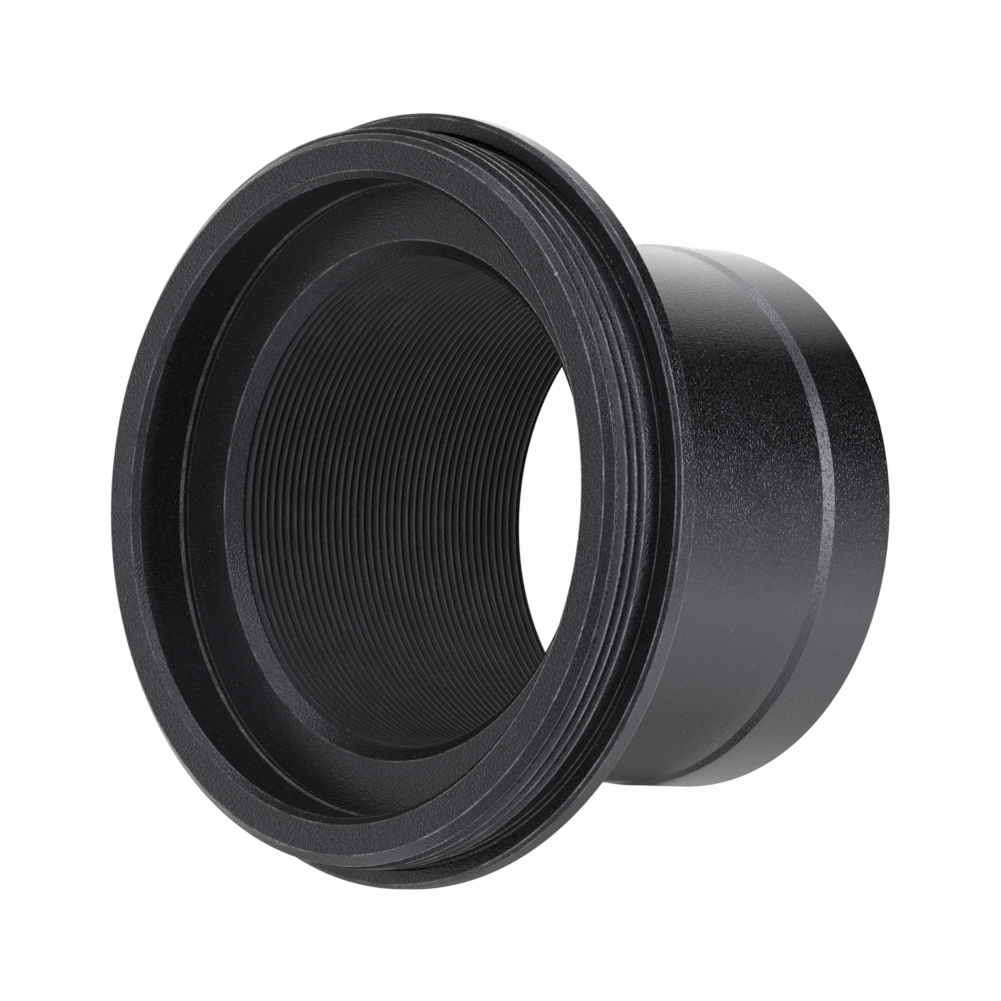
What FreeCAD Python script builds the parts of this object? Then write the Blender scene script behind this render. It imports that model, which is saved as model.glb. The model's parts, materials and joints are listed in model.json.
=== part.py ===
import FreeCAD, Part
import os

import Sketcher

# Eyepiece camera adapter: one turned piece of black anodised aluminium.
# It stands on its eyepiece barrel, with the axis along Z and the camera end up.
# From below: the 1.25 inch barrel with its full-size end land, a taper up to a shallow undercut,
# the stop flange, a relief ring and the short outside thread that takes the camera ring.
# Inside: a wide counterbore in the camera end and a straight light bore with a fine thread.
# Both threads are left at their plain cylinders here: the outside one at its crests, the bore at its crests too.

NODE = "adapter_body"

# Driving dimensions in millimetres: name, value, what it measures.
SIZES = [
    ("thread_diameter", 42.0, "outside diameter of the camera thread, over its crests"),
    ("thread_length", 2.95, "camera end face to the relief ring, lead chamfer included"),
    ("thread_lead", 0.75, "45 degree chamfer where the camera thread starts"),
    ("relief_width", 1.1, "plain ring between the thread and the flange"),
    ("relief_depth", 0.35, "how far the relief ring lies under the thread crests"),
    ("flange_overhang", 1.1, "flange edge beyond the thread crests"),
    ("flange_thickness", 1.5, "stop flange, front face to back face"),
    ("flange_chamfer", 0.25, "45 degree chamfer on both flange edges"),
    ("barrel_diameter", 31.75, "outside diameter of the barrel at its end land"),
    ("barrel_length", 22.65, "flange back face to barrel end"),
    ("barrel_chamfer", 0.35, "45 degree chamfer at the barrel end, outside"),
    ("barrel_wall", 1.925, "end land to the crests of the bore thread"),
    ("land_length", 5.0, "full-size end land, chamfer included"),
    ("taper_length", 0.85, "cone from the end land down to the undercut"),
    ("undercut_depth", 0.13, "how far the undercut lies under the end land"),
    ("root_radius", 0.2, "fillet where the undercut meets the flange"),
    ("counterbore_wall", 2.88, "thread crests to the counterbore wall"),
    ("counterbore_depth", 4.05, "camera end face to the counterbore floor"),
    ("counterbore_lip", 0.4, "45 degree chamfer round the counterbore mouth"),
    ("floor_step_height", 0.5, "small step round the counterbore floor, height"),
    ("floor_step_width", 0.1, "small step round the counterbore floor, width"),
    ("bore_chamfer", 0.9, "45 degree chamfer at both ends of the light bore"),
]

# Radii from the axis
THREAD_R = "sizes.thread_diameter / 2"
RELIEF_R = THREAD_R + " - sizes.relief_depth"
FLANGE_R = THREAD_R + " + sizes.flange_overhang"
BARREL_R = "sizes.barrel_diameter / 2"
UNDERCUT_R = BARREL_R + " - sizes.undercut_depth"
COUNTERBORE_R = THREAD_R + " - sizes.counterbore_wall"
STEP_R = COUNTERBORE_R + " - sizes.floor_step_width"
BORE_R = BARREL_R + " - sizes.barrel_wall"

# Heights above the barrel end
FLANGE_BACK = "sizes.barrel_length"
FLANGE_FRONT = FLANGE_BACK + " + sizes.flange_thickness"
RELIEF_TOP = FLANGE_FRONT + " + sizes.relief_width"
CAMERA_FACE = RELIEF_TOP + " + sizes.thread_length"
FLOOR = CAMERA_FACE + " - sizes.counterbore_depth"
STEP_TOP = FLOOR + " + sizes.floor_step_height"
TAPER_END = "sizes.land_length + sizes.taper_length"

AXIS = "0"
GROUND = "0"


def make_sheet(doc):
    """The spreadsheet that drives every size."""
    sheet = doc.addObject("Spreadsheet::Sheet", "sizes")
    for row, (name, value, note) in enumerate(SIZES, start=1):
        sheet.set(f"A{row}", name)
        sheet.set(f"B{row}", str(value))
        sheet.setAlias(f"B{row}", name)
        sheet.set(f"C{row}", note)
    doc.recompute()
    return sheet


def half_section(body, sheet, name, corners):
    """Closed outline in the XZ plane; each corner is its radius and its height, dimensioned from the sheet."""
    sketch = body.newObject("Sketcher::SketchObject", name)
    plane = next(item for item in body.Origin.OriginFeatures if item.Role == "XZ_Plane")
    sketch.AttachmentSupport = (plane, [""])
    sketch.MapMode = "FlatFace"
    points = [FreeCAD.Vector(sheet.evalExpression(r), sheet.evalExpression(z), 0) for r, z in corners]
    count = len(corners)
    for index in range(count):
        sketch.addGeometry(Part.LineSegment(points[index], points[(index + 1) % count]), False)
    for index in range(count):
        sketch.addConstraint(Sketcher.Constraint("Coincident", index, 2, (index + 1) % count, 1))
    for index, (radius, height) in enumerate(corners):
        dimension(sketch, index, "DistanceX", "radius", radius, points[index].x, AXIS)
        dimension(sketch, index, "DistanceY", "height", height, points[index].y, GROUND)
    return sketch


def dimension(sketch, corner, kind, word, expression, value, zero):
    """One corner's distance from the origin, bound to the sheet; a zero distance lies on the sketch axis."""
    if expression == zero:
        axis_line = -2 if kind == "DistanceX" else -1
        sketch.addConstraint(Sketcher.Constraint("PointOnObject", corner, 1, axis_line))
        return
    number = sketch.addConstraint(Sketcher.Constraint(kind, -1, 1, corner, 1, value))
    label = f"{word}_{corner}"
    sketch.renameConstraint(number, label)
    sketch.setExpression(f"Constraints.{label}", expression)


def turn(body, kind, name, sketch):
    """A full turn of a half section about the part's axis, added or cut away."""
    feature = body.newObject(kind, name)
    feature.Profile = sketch
    feature.ReferenceAxis = (sketch, ["V_Axis"])
    feature.Angle = 360.0
    body.Document.recompute()
    return feature


def cut(body, sheet, name, corners):
    """A turned cut, which has to take material away."""
    before = body.Shape.Volume
    feature = turn(body, "PartDesign::Groove", name, half_section(body, sheet, name + "_section", corners))
    if body.Shape.Volume >= before:
        raise RuntimeError(name + " cuts nothing")
    return feature


def make_blank(body, sheet):
    """The outside of the part: barrel, stop flange and thread cylinder with their chamfers."""
    corners = [
        (AXIS, GROUND),
        (BARREL_R + " - sizes.barrel_chamfer", GROUND),
        (BARREL_R, "sizes.barrel_chamfer"),
        (BARREL_R, FLANGE_BACK),
        (FLANGE_R + " - sizes.flange_chamfer", FLANGE_BACK),
        (FLANGE_R, FLANGE_BACK + " + sizes.flange_chamfer"),
        (FLANGE_R, FLANGE_FRONT + " - sizes.flange_chamfer"),
        (FLANGE_R + " - sizes.flange_chamfer", FLANGE_FRONT),
        (THREAD_R, FLANGE_FRONT),
        (THREAD_R, CAMERA_FACE + " - sizes.thread_lead"),
        (THREAD_R + " - sizes.thread_lead", CAMERA_FACE),
        (AXIS, CAMERA_FACE),
    ]
    return turn(body, "PartDesign::Revolution", "blank", half_section(body, sheet, "blank_section", corners))


def cut_undercut(body, sheet):
    """The shallow undercut of the barrel, with its taper to the end land and its fillet at the flange."""
    corners = [
        (BARREL_R, "sizes.land_length"),
        (UNDERCUT_R, TAPER_END),
        (UNDERCUT_R, FLANGE_BACK),
        (BARREL_R, FLANGE_BACK),
    ]
    groove = cut(body, sheet, "undercut", corners)
    root_r = sheet.evalExpression(UNDERCUT_R)
    root_z = sheet.evalExpression(FLANGE_BACK)
    fillet = body.newObject("PartDesign::Fillet", "undercut_root")
    fillet.Base = (groove, [circle_name(groove.Shape, root_r, root_z)])
    fillet.setExpression("Radius", "sizes.root_radius")
    body.Document.recompute()


def circle_name(shape, radius, height):
    """Name of the circular edge of that radius and height."""
    near = 1e-4
    for number, edge in enumerate(shape.Edges, start=1):
        curve = edge.Curve
        if not isinstance(curve, Part.Circle):
            continue
        if abs(curve.Radius - radius) < near and abs(curve.Center.z - height) < near:
            return f"Edge{number}"
    raise RuntimeError(f"no circle of radius {radius} at height {height}")


def cut_relief(body, sheet):
    """The plain ring between the camera thread and the flange."""
    corners = [
        (RELIEF_R, FLANGE_FRONT),
        (THREAD_R, FLANGE_FRONT),
        (THREAD_R, RELIEF_TOP),
        (RELIEF_R, RELIEF_TOP),
    ]
    cut(body, sheet, "relief", corners)


def cut_counterbore(body, sheet):
    """The wide recess in the camera end, with a chamfered lip and a small step round its floor."""
    corners = [
        (AXIS, FLOOR),
        (STEP_R, FLOOR),
        (STEP_R, STEP_TOP + " - sizes.floor_step_width"),
        (COUNTERBORE_R, STEP_TOP),
        (COUNTERBORE_R, CAMERA_FACE + " - sizes.counterbore_lip"),
        (COUNTERBORE_R + " + sizes.counterbore_lip", CAMERA_FACE),
        (AXIS, CAMERA_FACE),
    ]
    cut(body, sheet, "counterbore", corners)


def cut_bore(body, sheet):
    """The light bore through the barrel, chamfered at the counterbore floor and at the barrel end."""
    corners = [
        (AXIS, GROUND),
        (BORE_R + " + sizes.bore_chamfer", GROUND),
        (BORE_R, "sizes.bore_chamfer"),
        (BORE_R, FLOOR + " - sizes.bore_chamfer"),
        (BORE_R + " + sizes.bore_chamfer", FLOOR),
        (AXIS, FLOOR),
    ]
    cut(body, sheet, "light_bore", corners)


def check(doc, body):
    """Stops when any object failed, or when the part isn't one sound solid."""
    for item in doc.Objects:
        if "Invalid" in item.State or "Error" in item.State:
            raise RuntimeError(f"{item.Label} failed: {item.State}")
    shape = body.Shape
    if shape.isNull() or not shape.isValid() or len(shape.Solids) != 1:
        raise RuntimeError(f"{body.Label} isn't one sound solid")


def main():
    doc = FreeCAD.newDocument("eyepiece_camera_adapter")
    sheet = make_sheet(doc)
    body = doc.addObject("PartDesign::Body", NODE)
    body.Label = NODE
    make_blank(body, sheet)
    cut_undercut(body, sheet)
    cut_relief(body, sheet)
    cut_counterbore(body, sheet)
    cut_bore(body, sheet)
    doc.recompute()
    check(doc, body)
    os.makedirs("parts", exist_ok=True)
    body.Shape.exportStep(f"parts/{body.Label}.step")
    box = body.Shape.BoundBox
    print(f"{body.Label}: {box.XLength:.2f} x {box.YLength:.2f} x {box.ZLength:.2f} mm, {body.Shape.Volume:.1f} mm3")


main()
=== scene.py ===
import json
import math

import bpy
from mathutils import Matrix, Vector


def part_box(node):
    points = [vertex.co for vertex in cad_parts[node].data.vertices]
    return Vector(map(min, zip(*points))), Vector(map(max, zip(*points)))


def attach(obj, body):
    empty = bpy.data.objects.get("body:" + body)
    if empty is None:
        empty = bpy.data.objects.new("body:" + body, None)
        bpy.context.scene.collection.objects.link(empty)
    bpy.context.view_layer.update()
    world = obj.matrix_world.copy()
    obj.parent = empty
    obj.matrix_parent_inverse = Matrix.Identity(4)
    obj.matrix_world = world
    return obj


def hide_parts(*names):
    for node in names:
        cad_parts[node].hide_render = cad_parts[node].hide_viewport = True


# Eyepiece camera adapter: one turned ring of black anodised aluminium.
# It stands on its eyepiece barrel, axis along Z, camera end up. All lengths are in metres.

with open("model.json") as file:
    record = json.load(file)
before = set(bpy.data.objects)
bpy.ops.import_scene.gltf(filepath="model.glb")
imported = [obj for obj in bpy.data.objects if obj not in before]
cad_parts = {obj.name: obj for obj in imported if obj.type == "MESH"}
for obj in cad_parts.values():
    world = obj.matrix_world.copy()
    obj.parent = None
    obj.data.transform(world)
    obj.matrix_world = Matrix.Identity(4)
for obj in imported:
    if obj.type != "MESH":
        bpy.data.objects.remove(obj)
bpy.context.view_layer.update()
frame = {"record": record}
body_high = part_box("adapter_body")[1]

MM = 0.001
WHITE = (1.0, 1.0, 1.0, 1.0)

# Sizes taken from the frame
MOUNTS = {mount["name"]: mount for mount in frame["record"]["mounts"]}
THREAD_R = MOUNTS["camera_thread"]["dims"]["r_mm"] * MM
BARREL_R = MOUNTS["eyepiece_barrel"]["dims"]["r_mm"] * MM
BORE_R = MOUNTS["filter_thread"]["dims"]["r_mm"] * MM
FLANGE_FRONT = MOUNTS["camera_stop"]["pos_m"][2]
FLANGE_BACK = MOUNTS["barrel_stop"]["pos_m"][2]
FLANGE_R = body_high.x
CAMERA_FACE = body_high.z

# Sizes of the turned section
THREAD_LEAD = 0.75 * MM
LEAD_COSINE = math.cos(math.radians(45.0))
THREAD_LENGTH = 2.95 * MM
RELIEF_R = THREAD_R - 0.35 * MM
RELIEF_TOP = CAMERA_FACE - THREAD_LENGTH
FLANGE_CHAMFER = 0.25 * MM
UNDERCUT_R = BARREL_R - 0.13 * MM
ROOT_RADIUS = 0.2 * MM
ROOT_STEPS = 6
LAND_TOP = 5.0 * MM
TAPER_TOP = LAND_TOP + 0.85 * MM
BARREL_CHAMFER = 0.35 * MM
COUNTERBORE_R = THREAD_R - 2.88 * MM
COUNTERBORE_LIP = 0.4 * MM
FLOOR_TOP = CAMERA_FACE - 4.05 * MM
FLOOR_STEP = 0.1 * MM
FLOOR_STEP_TOP = FLOOR_TOP + 0.5 * MM
BORE_CHAMFER = 0.9 * MM

# Edges are broken by this much, as a deburred and blasted edge is
EDGE_BREAK = 0.065 * MM
EDGE_SEGMENTS = 3
SHARP_CORNER = math.radians(20.0)
SMOOTH_UP_TO = math.radians(6.0)
RING_POINTS = 256
WELD_SHARE = 0.0001

# Camera thread, 42 x 0.75 right-hand: groove depth, width of its flat root, height of a groove at +X
CAMERA_PITCH = 0.75 * MM
CAMERA_GROOVE_DEPTH = 0.34 * MM
CAMERA_ROOT_FLAT = 0.244 * MM
CAMERA_GROOVE_AT_X = CAMERA_FACE - 0.65 * MM

# Filter thread, 28.5 x 0.6 right-hand, all along the light bore
FILTER_PITCH = 0.6 * MM
FILTER_GROOVE_DEPTH = 0.3 * MM
FILTER_ROOT_FLAT = 0.15 * MM
FILTER_GROOVE_AT_X = FLOOR_TOP - 0.68 * MM

FLANK_SLOPE = math.tan(math.radians(30.0))

# Finish: the dye, the bead-blast grain with its glints painted in as pale dots, pale specks, and edges worn to
# pale metal with painted highlight lines on concave corners
DYE_DARK = (0.0040, 0.0039, 0.0048, 1.0)
DYE_LIGHT = (0.0070, 0.0068, 0.0084, 1.0)
# Pale dots on the blasted grain: the glints of its facets, painted into the colour (painted glints)
GRAIN_PAINTED_GLINT = (0.215, 0.210, 0.245, 1.0)
GLOSS_TINT = (0.905, 0.89, 1.0, 1.0)
SPECK = (0.60, 0.60, 0.62, 1.0)
# Pale edges: wear to bare metal, and on concave corners a painted highlight line
WORN_AND_HIGHLIGHT = (0.66, 0.66, 0.69, 1.0)
IOR = 1.72
HEAD_ROUGHNESS = 0.27
BARREL_ROUGHNESS = 0.15
BORE_ROUGHNESS = 0.5
PATCH_ROUGHNESS = (0.9, 1.12)
GRAIN_GLINT_RANGE = (0.28, 0.76)
GRAIN_GLINT_CURVE = 3.0
HEAD_DENT_DEPTH = 0.024 * MM
BARREL_DENT_DEPTH = 0.019 * MM
PATCH_RANGE = (0.35, 0.65)
SPECKS_PER_METRE = 1900.0
SPECK_CORE = 0.038
SPECK_REACH = 0.075
WEAR_AND_HIGHLIGHT_CORE = 0.03 * MM
WEAR_AND_HIGHLIGHT_REACH = 0.07 * MM
CREST_WEAR = 0.03 * MM
THREAD_WEAR = 0.8
BORE_WEAR = 0.25
NICK_PLACE = Vector((16.05, 12.32, 28.2)) * MM
NICK_CORE = 0.08 * MM
NICK_REACH = 0.14 * MM
DASH_RANGE = (0.40, 0.62)
DASH_LEAST = 0.3
NICK_RANGE = (0.36, 0.62)
NICK_LEAST = 0.3
GRAIN_GLINT_SHARE = 0.5
BARREL_FROM_R = 15.0 * MM
BORE_TO_R = BORE_R + FILTER_GROOVE_DEPTH + 0.03 * MM

# Noises of the finish: scale to a metre, octaves, share of each next octave
PATCH_NOISE = (420.0, 3.0, 0.6)
GRAIN_GLINT_NOISE = (13000.0, 1.0, 0.5)
DENT_NOISE = (8500.0, 0.0, 0.5)
DASH_NOISE = (500.0, 2.0, 0.6)
NICK_NOISE = (9000.0, 1.0, 0.5)

# Edges worn to pale metal, and concave corners with a pale line that is a painted highlight: radius, height,
# how much
WORN_AND_HIGHLIT_EDGES = [
    (THREAD_R - THREAD_LEAD, CAMERA_FACE, 0.85),
    (THREAD_R, CAMERA_FACE - THREAD_LEAD, 1.0),
    (THREAD_R, RELIEF_TOP, 0.5),
    # Concave corner: its pale line is a painted highlight, not wear
    (RELIEF_R, FLANGE_FRONT, 0.5),
    (FLANGE_R - FLANGE_CHAMFER, FLANGE_FRONT, 0.8),
    (FLANGE_R, FLANGE_FRONT - FLANGE_CHAMFER, 0.8),
    (FLANGE_R, FLANGE_BACK + FLANGE_CHAMFER, 0.6),
    (FLANGE_R - FLANGE_CHAMFER, FLANGE_BACK, 0.6),
    (COUNTERBORE_R + COUNTERBORE_LIP, CAMERA_FACE, 0.5),
    (COUNTERBORE_R, CAMERA_FACE - COUNTERBORE_LIP, 0.45),
    # Concave corner: its pale line is a painted highlight, not wear
    (COUNTERBORE_R, FLOOR_STEP_TOP, 0.5),
    (COUNTERBORE_R - FLOOR_STEP, FLOOR_STEP_TOP - FLOOR_STEP, 0.5),
    (BORE_R + BORE_CHAMFER, FLOOR_TOP, 0.5),
    (BORE_R, FLOOR_TOP - BORE_CHAMFER, 0.4),
    (BARREL_R, LAND_TOP, 0.3),
    (BARREL_R, BARREL_CHAMFER, 0.5),
    (BARREL_R - BARREL_CHAMFER, 0.0, 0.5),
    (BORE_R + BORE_CHAMFER, 0.0, 0.5),
]

# Camera: the photograph's place and roll, with a lens for the 1001 pixel square picture
PICTURE_SIDE = 1001
FOCAL_PIXELS = 7670.3
SENSOR = 36.0
CLIP_START = 0.01
CLIP_END = 20.0
CAMERA_PLACE = Vector((315.46, -13.03, 325.33)) * MM
CAMERA_BACK = Vector((0.71386, -0.03019, 0.69964)).normalized()
CAMERA_UP = Vector((0.0, 0.99907, 0.04311)).normalized()
CAMERA_RIGHT = CAMERA_UP.cross(CAMERA_BACK)
CAMERA_NUDGE = 0.0287 * MM
PART_CENTRE = Vector((0.0, 0.0, CAMERA_FACE / 2))

# Softboxes round the part: name, degrees round from +X, degrees up, level where white is 1
SOFTBOX_REACH = 0.5
SOFTBOX_WIDTH = 0.3
SOFTBOXES = [
    ("upper_box", 90.0, 28.0, 0.62),
    ("left_box", 180.0, 28.0, 0.55),
    ("lower_box", 270.0, 28.0, 0.38),
    ("right_box", 0.0, 28.0, 0.08),
    ("right_high_box", 0.0, 52.0, 0.24),
    ("left_high_box", 180.0, 52.0, 0.16),
    ("lower_left_high_box", 240.0, 52.0, 0.93),
    ("lower_high_box", 300.0, 52.0, 0.53),
    ("upper_high_box", 60.0, 52.0, 1.45),
    ("right_low_box", 0.0, 6.0, 1.0),
    ("left_low_box", 180.0, 6.0, 2.0),
    ("lower_left_low_box", 240.0, 1.0, 1.1),
    ("upper_low_box", 90.0, 6.0, 1.6),
    ("top_box", 0.0, 80.0, 0.9),
]

# Painted reflection: the floor glows with these levels to glossy rays only, as light and dark round the part.
# Degrees up from +X where the barrel shows it, level where white is 1
PAINTED_REFLECTION_SPAN = 100.0
PAINTED_FLOOR_REFLECTION = [
    (-100.0, 0.6), (-92.0, 0.07), (-88.0, 0.08), (-72.0, 0.27), (-60.0, 0.4), (-50.0, 0.5), (-36.0, 0.89),
    (-18.0, 1.36), (-9.0, 0.95), (0.0, 0.6), (9.0, 0.24), (18.0, 0.0), (33.0, 0.0), (40.0, 0.03),
    (46.0, 0.42), (54.0, 0.98), (63.0, 1.4), (72.0, 1.75), (92.0, 1.4), (100.0, 0.6),
]

# The same close by, as the end land shows it
PAINTED_FLOOR_REFLECTION_NEAR = [
    (-100.0, 0.6), (-92.0, 0.42), (-80.0, 0.6), (-72.0, 0.68), (-60.0, 0.85), (-50.0, 0.87), (-40.0, 0.98),
    (-30.0, 1.15), (-18.0, 1.42), (-9.0, 1.1), (0.0, 0.62), (9.0, 0.24), (18.0, 0.0), (34.0, 0.0),
    (40.0, 0.05), (46.0, 0.48), (54.0, 1.0), (63.0, 1.35), (72.0, 1.6), (92.0, 1.4), (100.0, 0.6),
]
MIRRORED_TURN = 2.0
NEAR_TO = LAND_TOP * CAMERA_BACK.xy.length / CAMERA_BACK.z
FAR_FROM = TAPER_TOP * CAMERA_BACK.xy.length / CAMERA_BACK.z

# The same where the floor is seen flatter, as the taper shows it
PAINTED_FLOOR_REFLECTION_FLAT = [
    (-100.0, 0.6), (-92.0, 1.0), (-84.0, 0.9), (-74.0, 0.5), (-66.0, 0.0), (-50.0, 0.05), (-40.0, 0.4),
    (-30.0, 0.8), (-20.0, 1.2), (-10.0, 2.45), (0.0, 4.3), (10.0, 5.4), (20.0, 3.6), (30.0, 1.2),
    (40.0, 1.35), (50.0, 3.1), (60.0, 2.7), (70.0, 1.4), (92.0, 1.25), (100.0, 0.6),
]
FLAT_FROM = 0.39
FLAT_TO = 0.45

# Where the floor is seen flatter still, its painted reflection is one plain level
PAINTED_FLOOR_REFLECTION_PLAIN = (0.45, 0.45, 0.45, 1.0)
PLAIN_FROM = 0.62
PLAIN_TO = 0.68

VIEW_TURN = math.atan2(CAMERA_BACK.y, CAMERA_BACK.x)
FLOOR_SIDE = 4.0
FLOOR_WHITE = (0.9, 0.9, 0.9, 1.0)
FLOOR_GLOW = 0.98
WORLD_LEVEL = 0.11


# Modelling helpers

def start_fresh():
    """Leaves nothing selected."""
    bpy.ops.object.select_all(action="DESELECT")


def pick(piece):
    """Selects one piece and makes it active."""
    start_fresh()
    bpy.context.view_layer.objects.active = piece
    piece.select_set(True)


def in_edit(piece):
    """Opens one piece in edit mode with all of it selected."""
    pick(piece)
    bpy.ops.object.mode_set(mode="EDIT")
    bpy.ops.mesh.select_all(action="SELECT")


def out_of_edit():
    bpy.ops.object.mode_set(mode="OBJECT")


def finish_modifier(piece, kind, **settings):
    """Adds a modifier, sets it and applies it."""
    pick(piece)
    bpy.ops.object.modifier_add(type=kind)
    modifier = piece.modifiers[-1]
    for name, value in settings.items():
        setattr(modifier, name, value)
    bpy.ops.object.modifier_apply(modifier=modifier.name)


def root_fillet():
    """Points of the fillet where the undercut meets the flange's back."""
    centre_r = UNDERCUT_R + ROOT_RADIUS
    centre_z = FLANGE_BACK - ROOT_RADIUS
    turns = [math.pi - math.pi / 2 * step / ROOT_STEPS for step in range(ROOT_STEPS + 1)]
    return [
        (centre_r + ROOT_RADIUS * math.cos(turn), centre_z + ROOT_RADIUS * math.sin(turn))
        for turn in turns
    ]


def turned_section():
    """Corners of the half section, radius and height: from the barrel end up the outside and down the bore."""
    return [
        (BORE_R + BORE_CHAMFER, 0.0),
        (BARREL_R - BARREL_CHAMFER, 0.0),
        (BARREL_R, BARREL_CHAMFER),
        (BARREL_R, LAND_TOP),
        (UNDERCUT_R, TAPER_TOP),
        *root_fillet(),
        (FLANGE_R - FLANGE_CHAMFER, FLANGE_BACK),
        (FLANGE_R, FLANGE_BACK + FLANGE_CHAMFER),
        (FLANGE_R, FLANGE_FRONT - FLANGE_CHAMFER),
        (FLANGE_R - FLANGE_CHAMFER, FLANGE_FRONT),
        (RELIEF_R, FLANGE_FRONT),
        (RELIEF_R, RELIEF_TOP),
        (THREAD_R, RELIEF_TOP),
        (THREAD_R, CAMERA_FACE - THREAD_LEAD),
        (THREAD_R - THREAD_LEAD, CAMERA_FACE),
        (COUNTERBORE_R + COUNTERBORE_LIP, CAMERA_FACE),
        (COUNTERBORE_R, CAMERA_FACE - COUNTERBORE_LIP),
        (COUNTERBORE_R, FLOOR_STEP_TOP),
        (COUNTERBORE_R - FLOOR_STEP, FLOOR_STEP_TOP - FLOOR_STEP),
        (COUNTERBORE_R - FLOOR_STEP, FLOOR_TOP),
        (BORE_R + BORE_CHAMFER, FLOOR_TOP),
        (BORE_R, FLOOR_TOP - BORE_CHAMFER),
        (BORE_R, BORE_CHAMFER),
    ]


def turn_body(name, section):
    """A ring of points is extruded from corner to corner round the section, and bridged back to its start."""
    start_fresh()
    radius, height = section[0]
    bpy.ops.mesh.primitive_circle_add(vertices=RING_POINTS, radius=radius, enter_editmode=True)
    piece = bpy.context.object
    piece.name = name
    bpy.ops.mesh.select_mode(type="EDGE")
    bpy.ops.transform.translate(value=(0.0, 0.0, height))
    for next_radius, next_height in section[1:]:
        bpy.ops.mesh.extrude_edges_move(TRANSFORM_OT_translate={"value": (0.0, 0.0, next_height - height)})
        share = next_radius / radius
        bpy.ops.transform.resize(value=(share, share, 1.0))
        radius, height = next_radius, next_height
    bpy.ops.mesh.select_all(action="DESELECT")
    bpy.ops.mesh.select_non_manifold()
    bpy.ops.mesh.bridge_edge_loops()
    bpy.ops.mesh.select_all(action="SELECT")
    bpy.ops.mesh.normals_make_consistent(inside=False)
    out_of_edit()
    return piece


def thread_cutter(name, crest_r, depth, root_flat, spare, pitch, groove_at_x, low, high, outward):
    """A helical bar with the groove's section, from below low to above high, as a threading tool sweeps it.

    outward is 1 where the groove goes out from a bore and -1 where it goes into a shaft."""
    root_half = root_flat / 2
    root_r = crest_r + outward * depth
    mouth_r = crest_r - outward * spare
    mouth_half = root_half + (depth + spare) * FLANK_SLOPE
    turns_below = math.ceil((groove_at_x - low) / pitch) + 1
    first = groove_at_x - turns_below * pitch
    turns = math.ceil((high - first) / pitch) + 1
    start_fresh()
    corners = [
        (mouth_r, first - mouth_half),
        (root_r, first - root_half),
        (root_r, first + root_half),
        (mouth_r, first + mouth_half),
    ]
    bpy.ops.mesh.primitive_circle_add(vertices=len(corners), radius=pitch)
    cutter = bpy.context.object
    cutter.name = name
    half_step = math.pi / RING_POINTS
    for vertex, (radius, height) in zip(cutter.data.vertices, corners):
        raised = height + pitch / (2 * RING_POINTS)
        vertex.co = (radius * math.cos(half_step), radius * math.sin(half_step), raised)
    finish_modifier(
        cutter, "SCREW", axis="Z", angle=math.tau, screw_offset=pitch, iterations=turns,
        steps=RING_POINTS, render_steps=RING_POINTS, use_merge_vertices=False, use_normal_calculate=True,
    )
    in_edit(cutter)
    bpy.ops.mesh.remove_doubles(threshold=pitch * WELD_SHARE)
    bpy.ops.mesh.select_all(action="DESELECT")
    bpy.ops.mesh.select_non_manifold()
    bpy.ops.mesh.edge_face_add()
    bpy.ops.mesh.select_all(action="SELECT")
    bpy.ops.mesh.normals_make_consistent(inside=False)
    out_of_edit()
    return cutter


def cut_with(piece, cutter):
    """Takes the cutter's shape out of the piece and throws the cutter away."""
    finish_modifier(piece, "BOOLEAN", operation="DIFFERENCE", solver="EXACT", object=cutter)
    bpy.data.objects.remove(cutter)


def make_adapter(finish):
    """The whole adapter: turned, edges broken, then both threads cut."""
    adapter = turn_body("adapter", turned_section())
    adapter.data.materials.append(finish)
    finish_modifier(
        adapter, "BEVEL", width=EDGE_BREAK, segments=EDGE_SEGMENTS,
        limit_method="ANGLE", angle_limit=SHARP_CORNER,
    )
    camera_cutter = thread_cutter(
        "camera_thread_cutter", THREAD_R, CAMERA_GROOVE_DEPTH, CAMERA_ROOT_FLAT, EDGE_BREAK,
        CAMERA_PITCH, CAMERA_GROOVE_AT_X, RELIEF_TOP, CAMERA_FACE, -1,
    )
    cut_with(adapter, camera_cutter)
    filter_cutter = thread_cutter(
        "filter_thread_cutter", BORE_R, FILTER_GROOVE_DEPTH, FILTER_ROOT_FLAT, EDGE_BREAK,
        FILTER_PITCH, FILTER_GROOVE_AT_X, 0.0, FLOOR_TOP, 1,
    )
    cut_with(adapter, filter_cutter)
    pick(adapter)
    bpy.ops.object.shade_smooth_by_angle(angle=SMOOTH_UP_TO)
    return adapter


# Node helpers, and the places of the colour sockets on a mix node

MIX_FIRST = 6
MIX_SECOND = 7
MIX_RESULT = 2


def feed(tree, socket, value):
    """Sets a socket, or links it where the value is another node's output."""
    if isinstance(value, bpy.types.NodeSocket):
        tree.links.new(value, socket)
    else:
        socket.default_value = value


def sum_node(tree, operation, *values):
    node = tree.nodes.new("ShaderNodeMath")
    node.operation = operation
    for socket, value in zip(node.inputs, values):
        feed(tree, socket, value)
    return node.outputs[0]


def noise_node(tree, place, per_metre, detail, roughness):
    node = tree.nodes.new("ShaderNodeTexNoise")
    node.inputs["Scale"].default_value = per_metre
    node.inputs["Detail"].default_value = detail
    node.inputs["Roughness"].default_value = roughness
    tree.links.new(place, node.inputs["Vector"])
    return node.outputs["Fac"]


def range_node(tree, value, low, high, to_low, to_high):
    """Moves a value from one range to another, clamped."""
    node = tree.nodes.new("ShaderNodeMapRange")
    for name, number in (("From Min", low), ("From Max", high), ("To Min", to_low), ("To Max", to_high)):
        node.inputs[name].default_value = number
    tree.links.new(value, node.inputs["Value"])
    return node.outputs["Result"]


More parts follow.
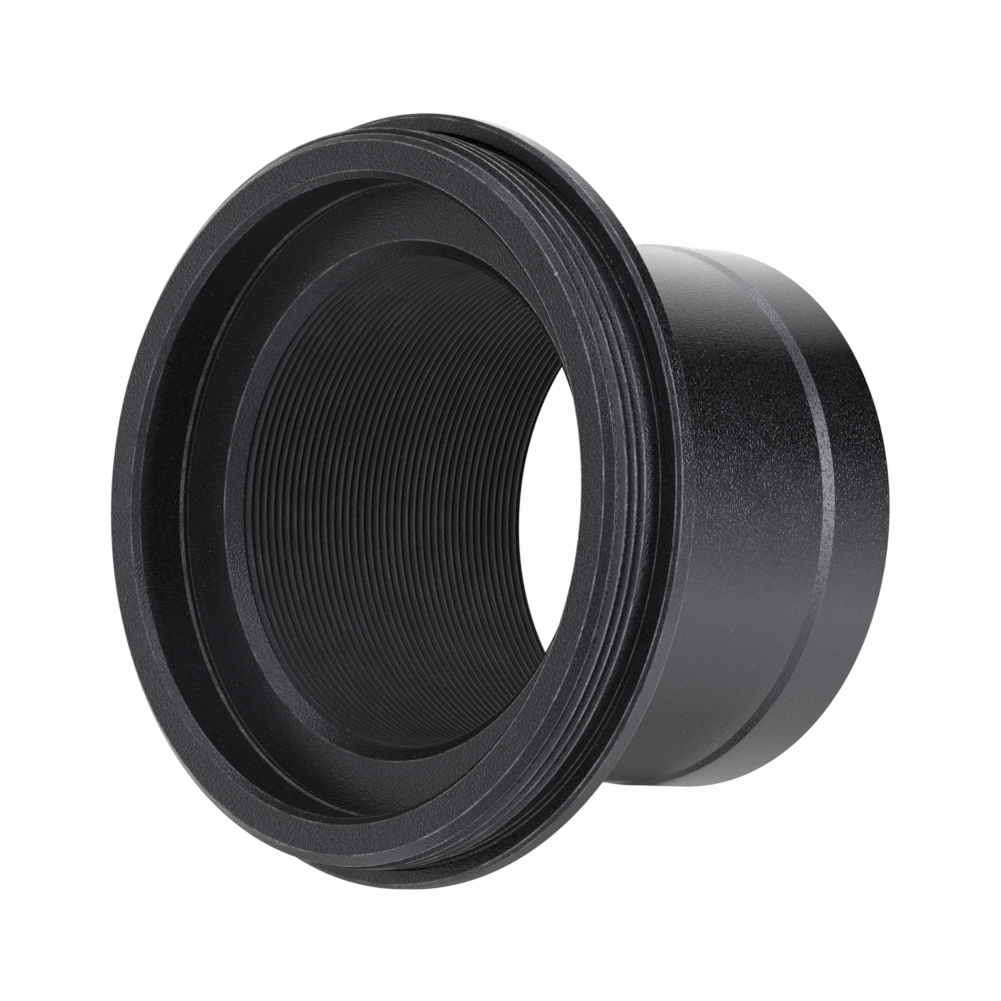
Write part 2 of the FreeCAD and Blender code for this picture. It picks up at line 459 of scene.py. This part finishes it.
def colour_mix(tree, share, first, second):
    node = tree.nodes.new("ShaderNodeMix")
    node.data_type = "RGBA"
    feed(tree, node.inputs["Factor"], share)
    feed(tree, node.inputs[MIX_FIRST], first)
    feed(tree, node.inputs[MIX_SECOND], second)
    return node.outputs[MIX_RESULT]


def distance_node(tree, place, point):
    node = tree.nodes.new("ShaderNodeVectorMath")
    node.operation = "DISTANCE"
    tree.links.new(place, node.inputs[0])
    node.inputs[1].default_value = point
    return node.outputs["Value"]


def radius_node(tree, split):
    """Distance from the part's axis, from split coordinates."""
    across = sum_node(tree, "MULTIPLY", split.outputs["X"], split.outputs["X"])
    along = sum_node(tree, "MULTIPLY", split.outputs["Y"], split.outputs["Y"])
    return sum_node(tree, "SQRT", sum_node(tree, "ADD", across, along))


def lead_gap(tree, radius, height):
    """Distance from the cone of the camera thread's lead chamfer."""
    across = sum_node(tree, "SUBTRACT", radius, THREAD_R)
    along = sum_node(tree, "SUBTRACT", height, CAMERA_FACE - THREAD_LEAD)
    gap = sum_node(tree, "ABSOLUTE", sum_node(tree, "ADD", across, along))
    return sum_node(tree, "MULTIPLY", gap, LEAD_COSINE)


def flank_gap(tree, split, radius):
    """Distance from the nearest flank of the camera thread's groove, along the axis."""
    turn = sum_node(tree, "ARCTAN2", split.outputs["Y"], split.outputs["X"])
    raised = sum_node(tree, "SUBTRACT", split.outputs["Z"], CAMERA_GROOVE_AT_X)
    climbed = sum_node(tree, "DIVIDE", raised, CAMERA_PITCH)
    turns = sum_node(tree, "SUBTRACT", climbed, sum_node(tree, "DIVIDE", turn, math.tau))
    beside = sum_node(tree, "ABSOLUTE", sum_node(tree, "SUBTRACT", turns, sum_node(tree, "ROUND", turns)))
    root_r = THREAD_R - CAMERA_GROOVE_DEPTH
    half = sum_node(tree, "MULTIPLY", sum_node(tree, "SUBTRACT", radius, root_r), FLANK_SLOPE)
    half = sum_node(tree, "ADD", half, CAMERA_ROOT_FLAT / 2)
    beside = sum_node(tree, "MULTIPLY", beside, CAMERA_PITCH)
    return sum_node(tree, "ABSOLUTE", sum_node(tree, "SUBTRACT", beside, half))


# Finishes

def zone_node(tree, value, test, value_limit, height, height_limit):
    """1 where a value passes its test and the height is under its limit, else 0."""
    inside = sum_node(tree, test, value, value_limit)
    return sum_node(tree, "MULTIPLY", inside, sum_node(tree, "LESS_THAN", height, height_limit))


def speck_share(tree, place):
    """Small pale dots, each of its own strength."""
    dots = tree.nodes.new("ShaderNodeTexVoronoi")
    dots.inputs["Scale"].default_value = SPECKS_PER_METRE
    tree.links.new(place, dots.inputs["Vector"])
    strength = tree.nodes.new("ShaderNodeSeparateColor")
    tree.links.new(dots.outputs["Color"], strength.inputs["Color"])
    core = range_node(tree, dots.outputs["Distance"], SPECK_CORE, SPECK_REACH, 1.0, 0.0)
    return sum_node(tree, "MULTIPLY", core, strength.outputs["Red"])


def wear_and_highlight_share(tree, split, radius, in_bore):
    """How much the edges and the thread crests are worn to pale metal, with painted highlight lines on concave
    corners, before this is broken up.
    """
    height = split.outputs["Z"]
    section = tree.nodes.new("ShaderNodeCombineXYZ")
    tree.links.new(radius, section.inputs["X"])
    tree.links.new(height, section.inputs["Y"])
    on_thread = range_node(tree, radius, THREAD_R - CREST_WEAR, THREAD_R - CREST_WEAR / 2, 0.0, THREAD_WEAR)
    wear_and_highlight = sum_node(tree, "MULTIPLY", on_thread, sum_node(tree, "GREATER_THAN", height, RELIEF_TOP))
    on_crests = range_node(tree, radius, BORE_R + CREST_WEAR / 2, BORE_R + CREST_WEAR, BORE_WEAR, 0.0)
    wear_and_highlight = sum_node(tree, "MAXIMUM", wear_and_highlight, sum_node(tree, "MULTIPLY", on_crests, in_bore))
    runout = sum_node(tree, "MAXIMUM", lead_gap(tree, radius, height), flank_gap(tree, split, radius))
    wear_and_highlight = sum_node(tree, "MAXIMUM", wear_and_highlight, range_node(tree, runout, WEAR_AND_HIGHLIGHT_CORE, WEAR_AND_HIGHLIGHT_REACH, 1.0, 0.0))
    for edge_r, edge_z, share in WORN_AND_HIGHLIT_EDGES:
        gap = distance_node(tree, section.outputs["Vector"], (edge_r, edge_z, 0.0))
        wear_and_highlight = sum_node(tree, "MAXIMUM", wear_and_highlight, range_node(tree, gap, WEAR_AND_HIGHLIGHT_CORE, WEAR_AND_HIGHLIGHT_REACH, share, 0.0))
    return wear_and_highlight


def broken_share(tree, place):
    """Breaks the wear and the painted edge highlights into patches and fine nicks."""
    patches = noise_node(tree, place, *DASH_NOISE)
    nicks = noise_node(tree, place, *NICK_NOISE)
    return sum_node(
        tree, "MULTIPLY",
        range_node(tree, patches, *DASH_RANGE, DASH_LEAST, 1.0),
        range_node(tree, nicks, *NICK_RANGE, NICK_LEAST, 1.0),
    )


def anodised_finish(name):
    """Black dyed anodising over a bead-blasted grain whose glints are painted in as pale dots, with pale
    specks, and edges worn to pale metal with painted highlight lines on concave corners.
    """
    material = bpy.data.materials.new(name)
    material.use_nodes = True
    tree = material.node_tree
    shader = tree.nodes["Principled BSDF"]
    place = tree.nodes.new("ShaderNodeTexCoord").outputs["Object"]
    split = tree.nodes.new("ShaderNodeSeparateXYZ")
    tree.links.new(place, split.inputs["Vector"])
    radius, height = radius_node(tree, split), split.outputs["Z"]
    on_barrel = zone_node(tree, radius, "GREATER_THAN", BARREL_FROM_R, height, FLANGE_FRONT - FLANGE_CHAMFER)
    in_bore = zone_node(tree, radius, "LESS_THAN", BORE_TO_R, height, FLOOR_TOP - BORE_CHAMFER)

    patches = noise_node(tree, place, *PATCH_NOISE)
    colour = colour_mix(tree, range_node(tree, patches, *PATCH_RANGE, 0.0, 1.0), DYE_DARK, DYE_LIGHT)
    # The grain's glints, painted into the colour as pale dots (painted glints)
    grain_glints = noise_node(tree, place, *GRAIN_GLINT_NOISE)
    grain_glints = sum_node(tree, "POWER", range_node(tree, grain_glints, *GRAIN_GLINT_RANGE, 0.0, 1.0), GRAIN_GLINT_CURVE)
    colour = colour_mix(tree, sum_node(tree, "MULTIPLY", grain_glints, GRAIN_GLINT_SHARE), colour, GRAIN_PAINTED_GLINT)
    colour = colour_mix(tree, speck_share(tree, place), colour, SPECK)
    # Worn edges, with painted highlight lines on concave corners, broken up into dashes and nicks
    wear_and_highlight = sum_node(tree, "MULTIPLY", wear_and_highlight_share(tree, split, radius, in_bore), broken_share(tree, place))
    nick = range_node(tree, distance_node(tree, place, NICK_PLACE), NICK_CORE, NICK_REACH, 1.0, 0.0)
    colour = colour_mix(tree, sum_node(tree, "MAXIMUM", wear_and_highlight, nick), colour, WORN_AND_HIGHLIGHT)
    tree.links.new(colour, shader.inputs["Base Color"])

    rough = range_node(tree, on_barrel, 0.0, 1.0, HEAD_ROUGHNESS, BARREL_ROUGHNESS)
    rough = sum_node(tree, "MAXIMUM", rough, sum_node(tree, "MULTIPLY", in_bore, BORE_ROUGHNESS))
    rough = sum_node(tree, "MULTIPLY", rough, range_node(tree, patches, *PATCH_RANGE, *PATCH_ROUGHNESS))
    tree.links.new(rough, shader.inputs["Roughness"])

    bump = tree.nodes.new("ShaderNodeBump")
    depth = range_node(tree, on_barrel, 0.0, 1.0, HEAD_DENT_DEPTH, BARREL_DENT_DEPTH)
    tree.links.new(depth, bump.inputs["Distance"])
    tree.links.new(noise_node(tree, place, *DENT_NOISE), bump.inputs["Height"])
    tree.links.new(bump.outputs["Normal"], shader.inputs["Normal"])

    shader.inputs["IOR"].default_value = IOR
    shader.inputs["Specular Tint"].default_value = GLOSS_TINT
    return material


# Stage

def painted_reflection_ramp(tree, turn, levels):
    """A grey level by angle, from stops of degrees and level."""
    span = math.radians(PAINTED_REFLECTION_SPAN)
    ramp = tree.nodes.new("ShaderNodeValToRGB")
    tree.links.new(range_node(tree, turn, -span, span, 0.0, 1.0), ramp.inputs["Fac"])
    stops = ramp.color_ramp.elements
    while len(stops) < len(levels):
        stops.new(1.0)
    for stop, (degrees, level) in zip(stops, levels):
        stop.position = degrees / (2 * PAINTED_REFLECTION_SPAN) + 0.5
        stop.color = (level, level, level, 1.0)
    return ramp.outputs["Color"]


def floor_painted_reflection(tree):
    """The painted reflection that the floor glows with in the gloss, by the place on the barrel that mirrors
    it and how flat it is seen.

    A ray mirrored at an angle round the barrel meets the floor at up to twice that angle, more further out."""
    place = tree.nodes.new("ShaderNodeTexCoord").outputs["Object"]
    split = tree.nodes.new("ShaderNodeSeparateXYZ")
    tree.links.new(place, split.inputs["Vector"])
    turn = sum_node(tree, "ARCTAN2", split.outputs["Y"], split.outputs["X"])
    turn = sum_node(tree, "SUBTRACT", turn, VIEW_TURN)
    out_from_axis = radius_node(tree, split)
    nearness = sum_node(tree, "DIVIDE", BARREL_R, out_from_axis)
    on_barrel = sum_node(tree, "DIVIDE", turn, sum_node(tree, "SUBTRACT", MIRRORED_TURN, nearness))
    beside = sum_node(tree, "MULTIPLY", sum_node(tree, "SINE", on_barrel), BARREL_R)
    ahead = sum_node(
        tree, "SUBTRACT",
        sum_node(tree, "MULTIPLY", out_from_axis, out_from_axis),
        sum_node(tree, "MULTIPLY", beside, beside),
    )
    ahead = sum_node(tree, "SQRT", sum_node(tree, "MAXIMUM", ahead, 0.0))
    inward = sum_node(tree, "MULTIPLY", sum_node(tree, "COSINE", on_barrel), BARREL_R)
    far = range_node(tree, sum_node(tree, "SUBTRACT", ahead, inward), NEAR_TO, FAR_FROM, 0.0, 1.0)
    near_painted_reflection = painted_reflection_ramp(tree, on_barrel, PAINTED_FLOOR_REFLECTION_NEAR)
    painted_reflection = colour_mix(tree, far, near_painted_reflection, painted_reflection_ramp(tree, on_barrel, PAINTED_FLOOR_REFLECTION))
    facing = tree.nodes.new("ShaderNodeLayerWeight").outputs["Facing"]
    flat = range_node(tree, facing, FLAT_FROM, FLAT_TO, 0.0, 1.0)
    painted_reflection = colour_mix(tree, flat, painted_reflection, painted_reflection_ramp(tree, on_barrel, PAINTED_FLOOR_REFLECTION_FLAT))
    plain = range_node(tree, facing, PLAIN_FROM, PLAIN_TO, 0.0, 1.0)
    return colour_mix(tree, plain, painted_reflection, PAINTED_FLOOR_REFLECTION_PLAIN)


def make_floor():
    """White to the camera but for the part's shadow; to glossy rays it glows light and dark round the part, a
    painted reflection.
    """
    start_fresh()
    bpy.ops.mesh.primitive_plane_add(size=FLOOR_SIDE)
    floor = bpy.context.object
    floor.name = "floor"
    material = bpy.data.materials.new("pale_floor")
    material.use_nodes = True
    tree = material.node_tree
    tree.nodes.clear()
    path = tree.nodes.new("ShaderNodeLightPath")
    # Glossy and transmission rays see the painted reflection; the camera sees white
    shown = colour_mix(tree, path.outputs["Is Camera Ray"], floor_painted_reflection(tree), WHITE)
    mirrored = sum_node(tree, "MAXIMUM", path.outputs["Is Glossy Ray"], path.outputs["Is Transmission Ray"])
    seen = sum_node(tree, "MULTIPLY", path.outputs["Is Camera Ray"], FLOOR_GLOW)
    matt = tree.nodes.new("ShaderNodeBsdfDiffuse")
    matt.inputs["Color"].default_value = FLOOR_WHITE
    glow = tree.nodes.new("ShaderNodeEmission")
    tree.links.new(shown, glow.inputs["Color"])
    mix = tree.nodes.new("ShaderNodeMixShader")
    tree.links.new(sum_node(tree, "MAXIMUM", seen, mirrored), mix.inputs[0])
    tree.links.new(matt.outputs[0], mix.inputs[1])
    tree.links.new(glow.outputs[0], mix.inputs[2])
    out = tree.nodes.new("ShaderNodeOutputMaterial")
    tree.links.new(mix.outputs[0], out.inputs["Surface"])
    floor.data.materials.append(material)


def make_world():
    """White to the camera, and a low even fill on the part."""
    world = bpy.data.worlds.new("studio")
    bpy.context.scene.world = world
    world.use_nodes = True
    tree = world.node_tree
    background = tree.nodes["Background"]
    path = tree.nodes.new("ShaderNodeLightPath")
    tree.links.new(
        range_node(tree, path.outputs["Is Camera Ray"], 0.0, 1.0, WORLD_LEVEL, 1.0),
        background.inputs["Strength"],
    )
    background.inputs["Color"].default_value = WHITE


def make_softbox(name, degrees_round, degrees_up, level):
    """A round softbox that faces the part and that the camera doesn't see."""
    round_part, up = math.radians(degrees_round), math.radians(degrees_up)
    way = Vector((math.cos(up) * math.cos(round_part), math.cos(up) * math.sin(round_part), math.sin(up)))
    data = bpy.data.lights.new(name, "AREA")
    data.shape = "DISK"
    data.size = SOFTBOX_WIDTH
    data.energy = level * math.pi * math.pi * (SOFTBOX_WIDTH / 2) ** 2
    lamp = bpy.data.objects.new(name, data)
    bpy.context.scene.collection.objects.link(lamp)
    turn = (-way).to_track_quat("-Z", "Y").to_matrix().to_4x4()
    lamp.matrix_world = Matrix.Translation(PART_CENTRE + way * SOFTBOX_REACH) @ turn
    lamp.visible_camera = False


def make_camera():
    data = bpy.data.cameras.new("photo_camera")
    data.sensor_fit = "HORIZONTAL"
    data.sensor_width = SENSOR
    data.lens = FOCAL_PIXELS * SENSOR / PICTURE_SIDE
    data.clip_start = CLIP_START
    data.clip_end = CLIP_END
    camera = bpy.data.objects.new("photo_camera", data)
    bpy.context.scene.collection.objects.link(camera)
    turn = Matrix((CAMERA_RIGHT, CAMERA_UP, CAMERA_BACK)).transposed().to_4x4()
    camera.matrix_world = Matrix.Translation(CAMERA_PLACE + (CAMERA_UP - CAMERA_RIGHT) * CAMERA_NUDGE) @ turn
    bpy.context.scene.camera = camera


adapter = make_adapter(anodised_finish("black_anodised"))
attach(adapter, "root")
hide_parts("adapter_body")

make_floor()
make_world()
for softbox in SOFTBOXES:
    make_softbox(*softbox)
make_camera()
bpy.context.scene.view_settings.view_transform = "Standard"
